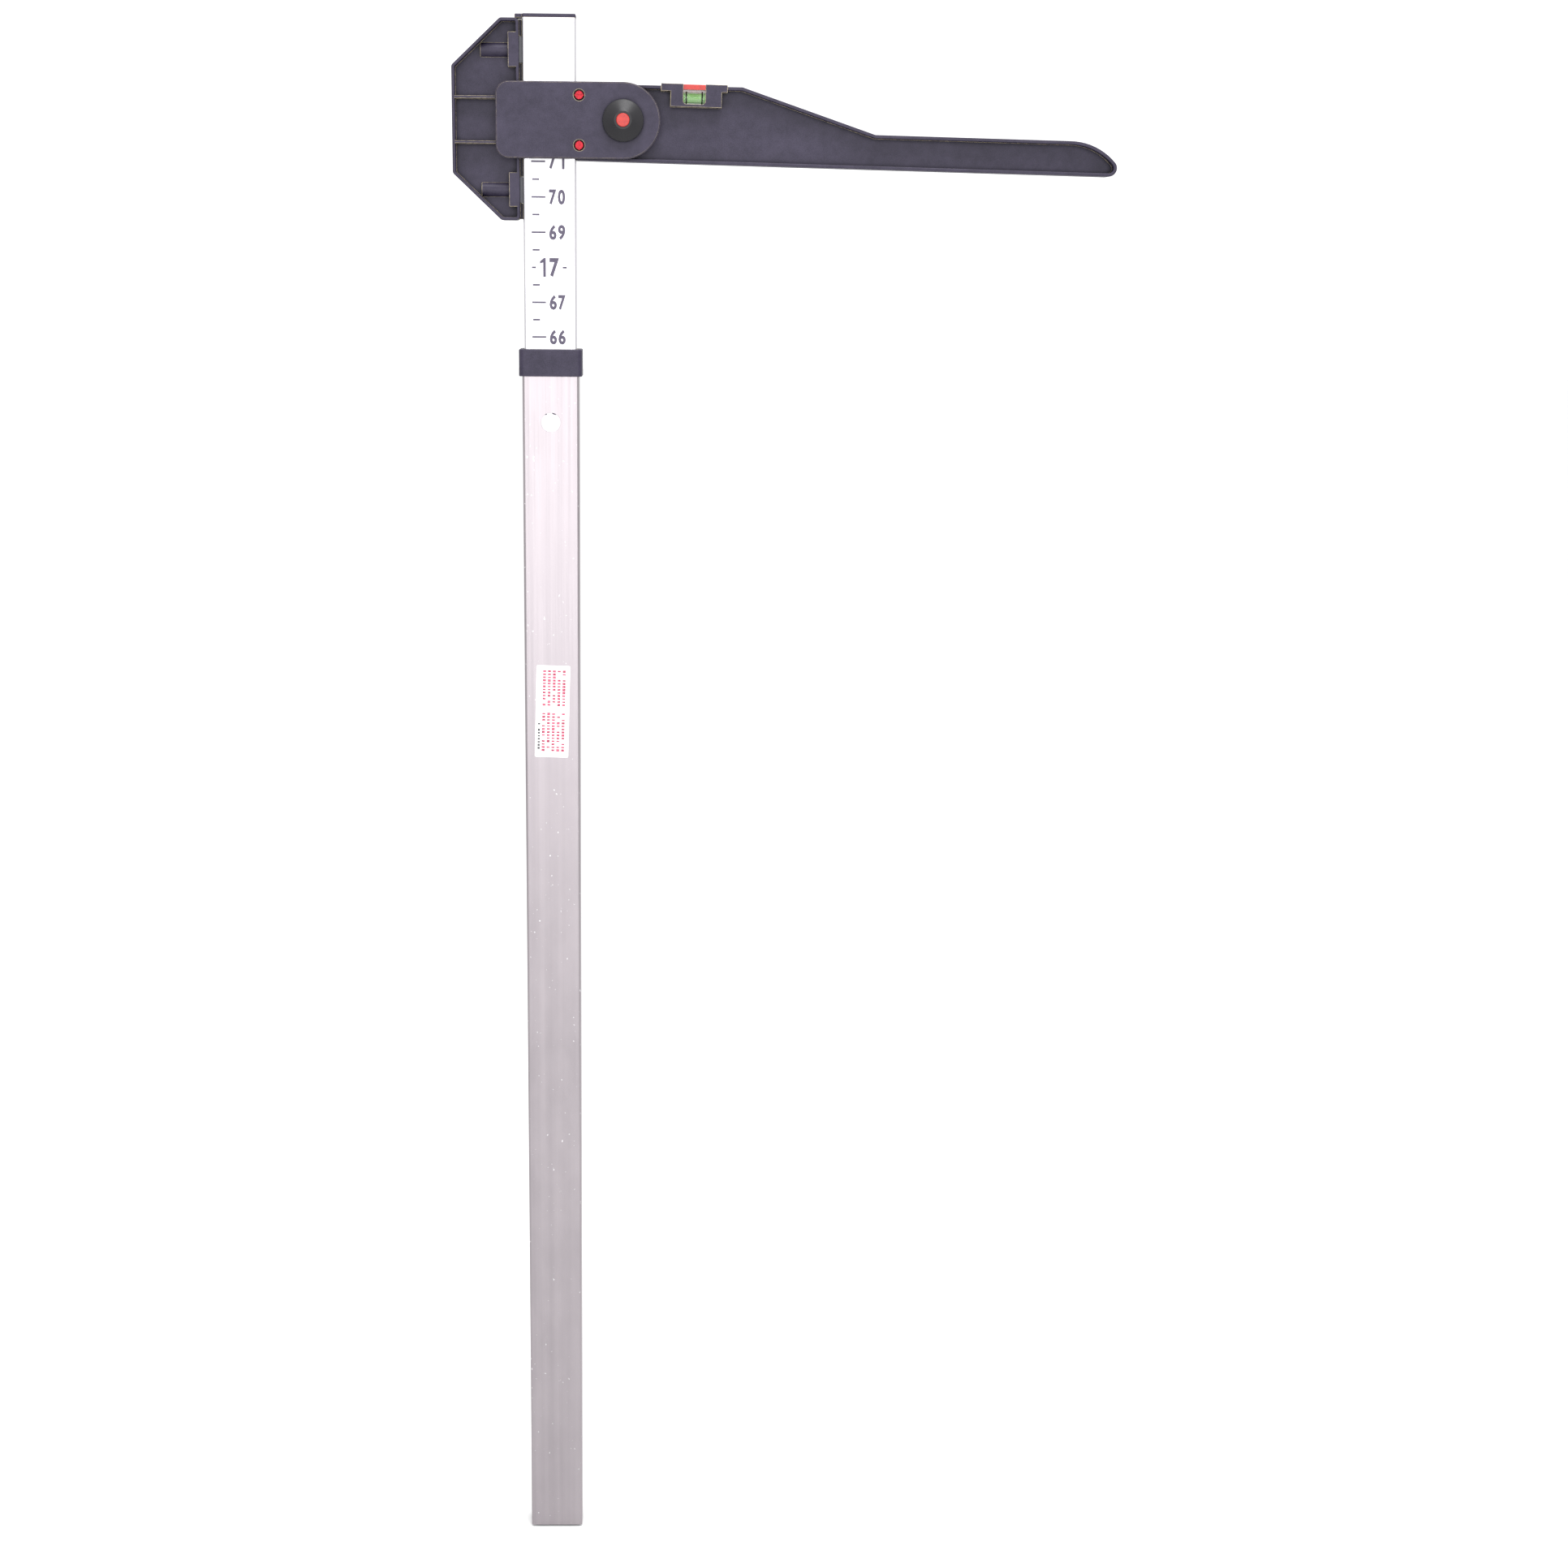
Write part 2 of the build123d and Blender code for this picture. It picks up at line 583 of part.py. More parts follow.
with BuildPart() as clamp_knob:
    profile_plane = Plane(origin=(PIVOT_X, knob_base, PIVOT_Z), x_dir=(1, 0, 0), z_dir=(0, 0, 1))
    with BuildSketch(profile_plane) as knob_profile:
        with BuildLine():
            Polyline(
                (INSERT_RADIUS, 0),
                (KNOB_RADIUS, 0),
                (KNOB_RADIUS, -KNOB_SIDE),
                (KNOB_NOSE_RADIUS, -KNOB_HEIGHT),
                (KNOB_CAP_RADIUS + KNOB_CAP_GAP, -KNOB_HEIGHT),
                (KNOB_CAP_RADIUS + KNOB_CAP_GAP, -KNOB_CAP_FLOOR),
                (0, -KNOB_CAP_FLOOR),
                (0, -INSERT_LENGTH),
                (INSERT_RADIUS, -INSERT_LENGTH),
                close=True,
            )
        make_face()
        rim_points = knob_profile.vertices().group_by(Axis.X)[-1]
        fillet(rim_points, KNOB_ROUND)
    revolve(axis=Axis((PIVOT_X, 0, PIVOT_Z), (0, 1, 0)))
clamp_knob.part.label = "clamp_knob"
export_step(clamp_knob.part, "parts/clamp_knob.step")

with BuildPart() as knob_insert:
    with BuildSketch(pivot_plane(knob_base)):
        Circle(INSERT_RADIUS)
        Circle(BOLT_RADIUS + RUNNING_GAP, mode=Mode.SUBTRACT)
    extrude(amount=INSERT_LENGTH)
knob_insert.part.label = "knob_insert"
export_step(knob_insert.part, "parts/knob_insert.step")

with BuildPart() as knob_cap:
    with BuildSketch(pivot_plane(knob_base - KNOB_CAP_FLOOR)):
        Circle(KNOB_CAP_RADIUS)
    extrude(amount=KNOB_CAP_TOP - KNOB_CAP_FLOOR)
    fillet(knob_cap.faces().sort_by(Axis.Y)[0].edges(), KNOB_CAP_ROUND)
knob_cap.part.label = "knob_cap"
export_step(knob_cap.part, "parts/knob_cap.step")

# -------------------------------------------------------------------------- arm


def toe_u(v):
    """u of the toe's end face, which stands parallel to the tube at rest."""
    droop = radians(ARM_DROOP)
    return (TOE_X - v * sin(droop)) / cos(droop)


def toe_outline():
    """Solid toe that bears on the tube's side, below the hub."""
    with BuildSketch(mode=Mode.PRIVATE) as outline:
        with BuildLine():
            Polyline(
                (toe_u(ARM_BOTTOM), ARM_BOTTOM),
                (0, ARM_BOTTOM),
                (0, TOE_TOP),
                (toe_u(TOE_TOP), TOE_TOP),
                close=True,
            )
        make_face()
    return outline.sketch


def arm_outline(inset):
    """Arm in u and v: hub, level section, sloping shoulder, neck and nose."""
    with BuildSketch(mode=Mode.PRIVATE) as outline:
        with BuildLine():
            Line((0, ARM_BOTTOM), (NOSE_END_U, ARM_BOTTOM))
            RadiusArc((NOSE_END_U, ARM_BOTTOM), (NOSE_U, NECK_V), -NOSE_RADIUS)
            Polyline((NOSE_U, NECK_V), (NECK_U, NECK_V), (SHOULDER_U, ARM_TOP), (0, HUB_RADIUS))
            Line((0, HUB_RADIUS), (0, ARM_BOTTOM))
        make_face()
        tip = outline.vertices().sort_by(Axis.X)[-1]
        fillet(tip, NOSE_CORNER)
        Circle(HUB_RADIUS)
        if inset:
            offset(amount=-inset, mode=Mode.REPLACE)
    return outline.sketch


arm_half = ARM_DEPTH / 2
with BuildPart() as arm:
    with BuildSketch(arm_plane()):
        add(arm_outline(0))
        add(toe_outline())
    extrude(amount=arm_half, both=True)
    for side in (-1, 1):
        with BuildSketch(arm_plane(side * arm_half)):
            add(arm_outline(ARM_RIM))
            add(toe_outline(), mode=Mode.SUBTRACT)
        extrude(amount=side * (arm_half - WEB / 2), mode=Mode.SUBTRACT)
    rim_faces = arm.faces().filter_by(Axis.Y).sort_by(Axis.Y)
    fillet(rim_faces[0].edges() + rim_faces[-1].edges(), EDGE_ROUND)
    with BuildSketch(arm_plane()):
        Circle(HUB_BOSS_RADIUS)
    extrude(amount=arm_half, both=True)
    with BuildSketch(arm_plane()):
        Circle(BUSH_RADIUS)
        block(HOLDER_LEFT, HOLDER_BOTTOM, HOLDER_RIGHT, HOLDER_TOP)
        block(HOLDER_WIDE_LEFT, HOLDER_SHOULDER, HOLDER_WIDE_RIGHT, HOLDER_TOP)
    extrude(amount=arm_half, both=True, mode=Mode.SUBTRACT)
arm.part.label = "arm"
export_step(arm.part, "parts/arm.step")

with BuildPart() as arm_bush:
    with BuildSketch(arm_plane()):
        Circle(BUSH_RADIUS)
        Circle(BOLT_RADIUS + RUNNING_GAP, mode=Mode.SUBTRACT)
    extrude(amount=arm_half, both=True)
arm_bush.part.label = "arm_bush"
export_step(arm_bush.part, "parts/arm_bush.step")

# ----------------------------------------------------------------- spirit level


def vial_plane(u):
    """Section across the vial at u: x is the front-to-back direction."""
    start = arm_plane().from_local_coords((u, LEVEL_V, 0))
    return Plane(origin=start, x_dir=(0, 1, 0), z_dir=arm_plane().x_dir)


with BuildPart() as level_holder:
    with BuildSketch(arm_plane()):
        block(HOLDER_LEFT, HOLDER_BOTTOM, HOLDER_RIGHT, HOLDER_TOP)
        block(HOLDER_WIDE_LEFT, HOLDER_SHOULDER, HOLDER_WIDE_RIGHT, HOLDER_TOP)
    extrude(amount=HOLDER_DEPTH / 2, both=True)
    with BuildSketch(arm_plane()) as window:
        block(LEVEL_U - WINDOW_HALF, WINDOW_BOTTOM, LEVEL_U + WINDOW_HALF, HOLDER_TOP + OVERLAP)
        fillet(window.vertices().group_by(Axis.Y)[0], WINDOW_CORNER)
    extrude(amount=HOLDER_DEPTH / 2, both=True, mode=Mode.SUBTRACT)
    with BuildSketch(arm_plane()):
        block(LEVEL_U - TROUGH_HALF, LEVEL_V, LEVEL_U + TROUGH_HALF, HOLDER_TOP + OVERLAP)
    extrude(amount=VIAL_RADIUS + VIAL_GAP, both=True, mode=Mode.SUBTRACT)
    with BuildSketch(vial_plane(LEVEL_U)):
        Circle(VIAL_RADIUS + VIAL_GAP)
    extrude(amount=TROUGH_HALF, both=True, mode=Mode.SUBTRACT)
level_holder.part.label = "level_holder"
export_step(level_holder.part, "parts/level_holder.step")

with BuildPart() as level_vial:
    with BuildSketch(vial_plane(LEVEL_U)):
        Circle(VIAL_RADIUS)
        Circle(VIAL_BORE, mode=Mode.SUBTRACT)
    extrude(amount=VIAL_HALF, both=True)
level_vial.part.label = "level_vial"
export_step(level_vial.part, "parts/level_vial.step")

with BuildPart() as vial_plugs:
    for sign in (-1, 1):
        with BuildSketch(vial_plane(LEVEL_U + sign * VIAL_HALF)):
            Circle(VIAL_BORE)
        extrude(amount=-sign * VIAL_PLUG)
vial_plugs.part.label = "vial_plugs"
export_step(vial_plugs.part, "parts/vial_plugs.step")

bubble_rise = VIAL_BORE - BUBBLE_RADIUS - BUBBLE_GAP
bubble_centre = arm_plane().from_local_coords((LEVEL_U, LEVEL_V + bubble_rise, 0))
bubble_plane = Plane(origin=bubble_centre, x_dir=(0, 1, 0), z_dir=arm_plane().x_dir)
with BuildPart() as vial_fluid:
    with BuildSketch(vial_plane(LEVEL_U)):
        Circle(VIAL_BORE)
    extrude(amount=VIAL_HALF - VIAL_PLUG, both=True)
    with BuildSketch(bubble_plane):
        Circle(BUBBLE_RADIUS)
    extrude(amount=BUBBLE_HALF, both=True, mode=Mode.SUBTRACT)
    with Locations(bubble_plane.offset(-BUBBLE_HALF), bubble_plane.offset(BUBBLE_HALF)):
        Sphere(BUBBLE_RADIUS, mode=Mode.SUBTRACT)
vial_fluid.part.label = "vial_fluid"
export_step(vial_fluid.part, "parts/vial_fluid.step")

bridge_half = WINDOW_HALF - CLIP_GAP
foot_half = TROUGH_HALF - CLIP_GAP
with BuildPart() as vial_clip:
    with BuildSketch(arm_plane()):
        block(LEVEL_U - bridge_half, CLIP_BOTTOM, LEVEL_U + bridge_half, CLIP_TOP)
    extrude(amount=CLIP_DEPTH / 2, both=True)
    fillet(vial_clip.edges().filter_by(GeomType.LINE).group_by(Axis.Y)[0].sort_by(Axis.Z)[-1], CLIP_ROUND)
    with BuildSketch(arm_plane()):
        block(LEVEL_U - foot_half, CLIP_BOTTOM, LEVEL_U + foot_half, CLIP_TOP - CLIP_BRIDGE)
    extrude(amount=VIAL_RADIUS, both=True)
vial_clip.part.label = "vial_clip"
export_step(vial_clip.part, "parts/vial_clip.step")

# ------------------------------------------------------ brake shoes and springs


def brake_shoe(height):
    """Pad that rubs the tube's left side, with a stem that guides its spring."""
    with BuildPart() as shoe:
        with BuildSketch(side_plane(SHOE_BACK, PIVOT_Z + height)):
            Rectangle(SHOE_DEPTH, 2 * SHOE_HALF)
        extrude(amount=SHOE_FACE - SHOE_BACK)
        fillet(shoe.edges().filter_by(Axis.Y), SHOE_CORNER)
        with BuildSketch(side_plane(STEM_END, PIVOT_Z + height)):
            Circle(STEM_RADIUS)
        extrude(amount=SHOE_BACK - STEM_END)
    return shoe.part


def coil_spring(height):
    """Compression spring round the stem, from the bore's end to the shoe's back."""
    start = SPRING_BORE_LEFT + COIL_WIRE + RUNNING_GAP
    length = SHOE_BACK - COIL_WIRE - RUNNING_GAP - start
    with BuildPart() as spring:
        with BuildLine():
            path = Helix(
                pitch=length / COIL_TURNS,
                height=length,
                radius=COIL_RADIUS,
                center=(start, 0, PIVOT_Z + height),
                direction=(1, 0, 0),
            )
        with BuildSketch(Plane(origin=path @ 0, z_dir=path % 0)):
            Circle(COIL_WIRE)
        sweep(is_frenet=True)
    return spring.part


for place, height in (("upper", SHOE_HEIGHT), ("lower", -SHOE_HEIGHT)):
    shoe_part = brake_shoe(height)
    shoe_part.label = f"brake_shoe_{place}"
    export_step(shoe_part, f"parts/brake_shoe_{place}.step")
    spring_part = coil_spring(height)
    spring_part.label = f"shoe_spring_{place}"
    export_step(spring_part, f"parts/shoe_spring_{place}.step")
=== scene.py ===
"""Looks of a telescopic measuring stick: two aluminium tubes, an inch scale, a sliding
plastic carriage and a pivoting arm with a spirit level. Metres, in the frame of the
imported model: +Z up the tubes, -Y the printed front, +X the side where the arm reaches out.
"""

import math

import bmesh
import bpy
from mathutils import Matrix, Vector


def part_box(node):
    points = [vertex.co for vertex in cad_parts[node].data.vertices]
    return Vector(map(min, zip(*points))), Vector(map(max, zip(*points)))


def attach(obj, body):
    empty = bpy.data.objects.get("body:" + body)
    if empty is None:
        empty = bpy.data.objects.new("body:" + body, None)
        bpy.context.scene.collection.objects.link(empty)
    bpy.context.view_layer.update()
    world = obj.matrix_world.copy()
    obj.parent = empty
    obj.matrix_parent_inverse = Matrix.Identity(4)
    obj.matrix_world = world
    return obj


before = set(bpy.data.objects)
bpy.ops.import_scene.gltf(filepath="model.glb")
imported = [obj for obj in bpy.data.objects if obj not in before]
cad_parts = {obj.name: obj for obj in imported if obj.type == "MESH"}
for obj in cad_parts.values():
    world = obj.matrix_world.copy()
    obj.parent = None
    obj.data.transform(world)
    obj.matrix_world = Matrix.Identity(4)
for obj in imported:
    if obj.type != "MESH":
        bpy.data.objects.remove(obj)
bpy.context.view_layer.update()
MM = 0.001

# ------------------------------------------------------------------------- camera
# A normal lens stands a little below the carriage and to the right of the tubes,
# and looks down far enough to take in the foot.

camera_data = bpy.data.cameras.new("camera")
camera_data.lens = 52.3
camera_data.sensor_width = 36.0
camera_data.shift_x = 0.0512
camera_data.clip_start = 0.05
camera_data.clip_end = 60.0
camera = bpy.data.objects.new("camera", camera_data)
camera.location = (0.080, -1.749, 1.0489)
camera.rotation_euler = [math.radians(angle) for angle in (76.934, -0.541, -1.128)]
bpy.context.scene.collection.objects.link(camera)
bpy.context.scene.camera = camera


# --------------------------------------------------------------------- outer tube
# The lower section is an extruded aluminium box tube with a thin clear anodised
# skin. The die leaves long straight lines, and hands leave it a little cloudy.


class Value:
    """A number that varies over a surface. Python's operators join it up with nodes."""

    def __init__(self, finish, socket):
        self.finish = finish
        self.socket = socket

    def maths(self, operation, *others):
        inputs = dict(enumerate((self,) + others))
        return self.finish.node("ShaderNodeMath", {"operation": operation}, inputs).out(0)

    def __add__(self, other):
        return self.maths("ADD", other)

    def __mul__(self, other):
        return self.maths("MULTIPLY", other)

    __radd__ = __add__
    __rmul__ = __mul__


class Node:
    """A node that has been made, whose outputs are asked for by name or number."""

    def __init__(self, finish, node):
        self.finish = finish
        self.node = node

    def out(self, name):
        return Value(self.finish, self.node.outputs[name])


class Finish:
    """A material for one kind of surface, with its constants set on the shader itself."""

    def __init__(self, name, constants):
        self.material = bpy.data.materials.new(name)
        self.material.use_nodes = True
        self.tree = self.material.node_tree
        self.shader = self.tree.nodes["Principled BSDF"]
        for key, value in constants.items():
            self.shader.inputs[key].default_value = value

    def node(self, kind, settings, inputs):
        """Makes one node: its settings first, then the value or link of each input."""
        made = self.tree.nodes.new(kind)
        for key, value in settings.items():
            setattr(made, key, value)
        for key, value in inputs.items():
            self.join(value, made.inputs[key])
        return Node(self, made)

    def join(self, value, socket):
        if isinstance(value, Value):
            self.tree.links.new(value.socket, socket)
        else:
            socket.default_value = value

    def place(self, scale=(1, 1, 1), shift=(0, 0, 0)):
        """Object coordinates in metres, moved and stretched."""
        where = self.node("ShaderNodeTexCoord", {}, {}).out("Object")
        inputs = {"Vector": where, "Scale": scale, "Location": shift}
        return self.node("ShaderNodeMapping", {}, inputs).out(0)

    def noise(self, where, scale, detail=2.0, roughness=0.5):
        sizes = {"Vector": where, "Scale": scale, "Detail": detail, "Roughness": roughness}
        return self.node("ShaderNodeTexNoise", {}, sizes).out(0)

    def spread(self, value, low, high, to_low=0.0, to_high=1.0):
        """Stretches part of a value's range, and holds it at both ends."""
        inputs = {0: value, 1: low, 2: high, 3: to_low, 4: to_high}
        return self.node("ShaderNodeMapRange", {}, inputs).out(0)

    def blend(self, amount, first, second):
        """Colour between two colours or colour links."""
        inputs = {"Factor": amount, 6: first, 7: second}
        return self.node("ShaderNodeMix", {"data_type": "RGBA"}, inputs).out(2)

    def bump(self, height, depth, strength):
        """Lets a height in 0 to 1 raise the surface by depth, in metres."""
        inputs = {"Height": height, "Distance": depth, "Strength": strength}
        relief = self.node("ShaderNodeBump", {}, inputs).out(0)
        self.drive("Normal", relief)

    def drive(self, socket, value):
        self.join(value, self.shader.inputs[socket])

    def tint(self, tone, first, second, low=0.35, high=0.65):
        """Base colour that runs from one colour to another as a tone rises."""
        self.drive("Base Color", self.blend(self.spread(tone, low, high), first, second))


def put_on(finish, *nodes):
    """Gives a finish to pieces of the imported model."""
    for node in nodes:
        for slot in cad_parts[node].material_slots:
            slot.material = finish.material


def anodised(name, bright, dull, roughness):
    """Extruded aluminium: die lines along Z, cloudy patches and a few bright specks."""
    finish = Finish(name, {"Metallic": 1.0})
    lines = finish.noise(finish.place(scale=(1, 1, 0.004)), 1500, 3.0, 0.6)
    bands = finish.noise(finish.place(scale=(1, 1, 0.01)), 160, 2.0)
    clouds = finish.noise(finish.place(scale=(1, 1, 0.45)), 38, 4.0, 0.6)
    specks = finish.noise(finish.place(), 420, 1.0)
    colour = finish.blend(finish.spread(bands * 0.5 + clouds * 0.5, 0.35, 0.65), dull, bright)
    marks = finish.spread(specks, 0.74, 0.80)
    finish.drive("Base Color", finish.blend(marks * 0.5, colour, (0.9, 0.9, 0.92, 1)))
    drawn = finish.spread(lines, 0.3, 0.7, -0.05, 0.05)
    handled = finish.spread(clouds, 0.3, 0.7, -0.04, 0.05)
    finish.drive("Roughness", drawn + handled + roughness)
    finish.bump(lines, 0.00002, 0.6)
    return finish


outer_aluminium = anodised(
    "outer_aluminium", (0.335, 0.305, 0.322, 1), (0.288, 0.262, 0.278, 1), 0.35
)
put_on(outer_aluminium, "outer_tube")

# ---------------------------------------------------------------- foot and collar
# Black polyamide mouldings. The foot is pressed into the tube's lower end, and the
# collar over its upper end, where it steadies the inner tube.

EDGE_ROUNDING = 0.0008
CORNER_REACH = 0.0045
# Colours of the paler edges (part wear, part painted highlight) and of the painted shade in inner
# corners.
RUBBED_EDGE_AND_HIGHLIGHT = (0.46, 0.385, 0.25, 1)
PAINTED_CORNER_SHADE = (0.003, 0.002, 0.010, 1)


def moulded(name, low, high, roughness):
    """Matt black moulding: grain, mottled colour, edges painted paler (part wear, part painted
    highlight) and painted shade in inner corners.
    """
    finish = Finish(name, {"IOR": 1.5, "Specular IOR Level": 0.2})
    grain = finish.noise(finish.place(), 1500, 3.0, 0.65)
    patches = finish.noise(finish.place(), 110, 4.0, 0.7)
    flow = finish.noise(finish.place(scale=(1, 1, 2.5), shift=(0.3, 0, 0)), 14, 2.0)
    mottle = finish.spread(grain * 0.45 + patches * 0.35 + flow * 0.2, 0.38, 0.62)
    colour = finish.blend(mottle, low, high)
    # Edges are painted a paler tan: part wear, part painted highlight where rounded edges would
    # catch the light.
    soft = finish.node("ShaderNodeBevel", {"samples": 8}, {"Radius": EDGE_ROUNDING}).out(0)
    true = finish.node("ShaderNodeNewGeometry", {}, {}).out("Normal")
    facing = finish.node("ShaderNodeVectorMath", {"operation": "DOT_PRODUCT"}, {0: soft, 1: true})
    edge = finish.spread(facing.out("Value"), 0.985, 0.80)
    edge_patches = finish.spread(finish.noise(finish.place(), 320, 3.0, 0.6), 0.35, 0.65, 0.35, 1.0)
    # Painted shade: ambient occlusion darkens inner corners, gaps and the web under the ribs.
    corner = finish.node(
        "ShaderNodeAmbientOcclusion", {"samples": 6}, {"Distance": CORNER_REACH}
    ).out("AO")
    shaded = finish.blend(finish.spread(corner, 0.35, 0.80), PAINTED_CORNER_SHADE, colour)
    finish.drive("Base Color", finish.blend(edge * edge_patches, shaded, RUBBED_EDGE_AND_HIGHLIGHT))
    finish.drive("Roughness", finish.spread(grain, 0.3, 0.7, roughness - 0.07, roughness + 0.09))
    finish.bump(grain, 0.00006, 0.55)
    return finish


black_plastic = moulded("black_plastic", (0.017, 0.014, 0.027, 1), (0.038, 0.032, 0.055, 1), 0.45)
put_on(black_plastic, "foot_plug", "collar")


# -------------------------------------------------------------------------- label
# A small white paper label stuck a little askew on the outer tube. Five columns of
# plain red bars and a short grey column stand for its small print.

label_paper = Finish("label_paper", {"Roughness": 0.55})
fibres = label_paper.noise(label_paper.place(), 2400, 4.0, 0.7)
yellowing = label_paper.noise(label_paper.place(), 60, 2.0)
label_paper.tint(
    fibres * 0.3 + yellowing * 0.7, (0.68, 0.665, 0.66, 1), (0.76, 0.75, 0.745, 1)
)
label_paper.bump(fibres, 0.00002, 0.4)
put_on(label_paper, "label_sticker")

label_ink = Finish("label_ink", {"Roughness": 0.5})
ink_wear = label_ink.noise(label_ink.place(), 700, 2.0)
label_ink.tint(ink_wear, (0.62, 0.12, 0.19, 1), (0.26, 0.02, 0.06, 1), 0.42, 0.58)


def tree_piece(name, tree, values, body):
    """Runs a Geometry Nodes tree once, keeps its mesh as a plain piece and rides it."""
    holder = bpy.data.objects.new(name, bpy.data.meshes.new(name))
    bpy.context.scene.collection.objects.link(holder)
    modifier = holder.modifiers.new("tree", "NODES")
    modifier.node_group = tree
    for item in tree.interface.items_tree:
        if item.in_out == "INPUT" and item.name in values:
            modifier[item.identifier] = values[item.name]
    made = bpy.data.meshes.new_from_object(
        holder.evaluated_get(bpy.context.evaluated_depsgraph_get())
    )
    holder.modifiers.remove(modifier)
    made.name = name
    holder.data = made
    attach(holder, body)
    return holder


class Tree:
    """A Geometry Nodes tree with named sizes."""

    def __init__(self, name, sizes, material):
        self.group = bpy.data.node_groups.new(name, "GeometryNodeTree")
        sockets = self.group.interface
        sockets.new_socket("Geometry", in_out="OUTPUT", socket_type="NodeSocketGeometry")
        for key, (kind, value) in sizes.items():
            socket = sockets.new_socket(key, in_out="INPUT", socket_type="NodeSocket" + kind)
            socket.default_value = value
        self.given = self.group.nodes.new("NodeGroupInput")
        self.material = material

    def size(self, name):
        return self.given.outputs[name]

    def node(self, kind, settings, inputs, output=0):
        made = self.group.nodes.new(kind)
        for key, value in settings.items():
            setattr(made, key, value)
        for key, value in inputs.items():
            if isinstance(value, bpy.types.NodeSocket):
                self.group.links.new(value, made.inputs[key])
            else:
                made.inputs[key].default_value = value
        return made.outputs[output]

    def maths(self, operation, first, second):
        return self.node("ShaderNodeMath", {"operation": operation}, {0: first, 1: second})

    def compare(self, operation, first, second):
        settings = {"data_type": "FLOAT", "operation": operation}
        return self.node("FunctionNodeCompare", settings, {0: first, 1: second})

    def vector(self, x=0.0, y=0.0, z=0.0):
        return self.node("ShaderNodeCombineXYZ", {}, {0: x, 1: y, 2: z})

    def finish(self, *parts):
        """Joins the parts, makes the instances real and gives them their material."""
        joined = self.group.nodes.new("GeometryNodeJoinGeometry")
        for part in parts:
            self.group.links.new(part, joined.inputs[0])
        real = self.node("GeometryNodeRealizeInstances", {}, {0: joined.outputs[0]})
        inputs = {"Geometry": real, "Material": self.material}
        coloured = self.node("GeometryNodeSetMaterial", {}, inputs)
        end = self.group.nodes.new("NodeGroupOutput")
        self.group.links.new(coloured, end.inputs[0])
        return self.group


PRINTED_SHARE = 0.84
GAP_ROW = 13.5
GAP_REACH = 1.2
SHORTEST_BAR = 0.45
LONGEST_BAR = 0.85
LENGTH_SEED = 21


def bar_columns(name, ink):
    """Columns of short bars of random length, with a gap row and some bars missing."""
    sizes = {
        "Columns": ("Int", 5),
        "Bars": ("Int", 27),
        "Column Pitch": ("Float", 3.8 * MM),
        "Bar Pitch": ("Float", 2.4 * MM),
        "Bar Height": ("Float", 2.3 * MM),
        "Ink": ("Float", 0.03 * MM),
        "Seed": ("Int", 7),
    }
    tree = Tree(name, sizes, ink.material)
    count = tree.maths("MULTIPLY", tree.size("Columns"), tree.size("Bars"))
    points = tree.node("GeometryNodePoints", {}, {"Count": count})
    index = tree.node("GeometryNodeInputIndex", {}, {})
    column = tree.maths("FLOOR", tree.maths("DIVIDE", index, tree.size("Bars")), 0.0)
    row = tree.maths("MODULO", index, tree.size("Bars"))

    def centred(number, count, pitch):
        """Distance of a numbered place from the middle of evenly spaced places."""
        middle = tree.maths("MULTIPLY", tree.maths("SUBTRACT", tree.size(count), 1.0), 0.5)
        return tree.maths("MULTIPLY", tree.maths("SUBTRACT", number, middle), tree.size(pitch))

    across = centred(column, "Columns", "Column Pitch")
    along = centred(row, "Bars", "Bar Pitch")
    spot = {"Geometry": points, "Position": tree.vector(across, 0.0, along)}
    placed = tree.node("GeometryNodeSetPosition", {}, spot)
    draw = {"ID": index, "Seed": tree.size("Seed")}
    chance = tree.node("FunctionNodeRandomValue", {"data_type": "FLOAT"}, draw, 1)
    printed = tree.compare("LESS_THAN", chance, PRINTED_SHARE)
    from_gap = tree.node(
        "ShaderNodeMath", {"operation": "ABSOLUTE"}, {0: tree.maths("SUBTRACT", row, GAP_ROW)}
    )
    outside_gap = tree.compare("GREATER_THAN", from_gap, GAP_REACH)
    keep = tree.node("FunctionNodeBooleanMath", {"operation": "AND"}, {0: printed, 1: outside_gap})
    draw = {2: SHORTEST_BAR, 3: LONGEST_BAR, "ID": index, "Seed": LENGTH_SEED}
    length = tree.node("FunctionNodeRandomValue", {"data_type": "FLOAT"}, draw, 1)
    size = tree.vector(tree.size("Bar Height"), tree.size("Ink"), tree.size("Bar Pitch"))
    inputs = {
        "Points": placed,
        "Selection": keep,
        "Instance": tree.node("GeometryNodeMeshCube", {}, {"Size": size}),
        "Scale": tree.vector(1.0, 1.0, length),
    }
    return tree.finish(tree.node("GeometryNodeInstanceOnPoints", {}, inputs))


label_low, label_high = (Vector(corner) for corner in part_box("label_sticker"))
label_middle = (label_low + label_high) / 2
LABEL_TILT = math.radians(1.5)
LABEL_LIFT = 0.01 * MM
PRINT_OFFSET = (0.9 * MM, 0, 0.5 * MM)
NOTE_OFFSET = (-10.2 * MM, 0, -19.5 * MM)
grey_ink = Finish("grey_ink", {"Roughness": 0.5})
grey_wear = grey_ink.noise(grey_ink.place(), 900, 2.0)
grey_ink.drive(
    "Base Color", grey_ink.blend(grey_wear, (0.03, 0.03, 0.035, 1), (0.09, 0.085, 0.09, 1))
)
note = {"Columns": 1, "Bars": 9, "Bar Height": 1.7 * MM, "Seed": 12}
label_columns = (
    ("label_print", label_ink, {}, PRINT_OFFSET),
    ("label_note", grey_ink, note, NOTE_OFFSET),
)
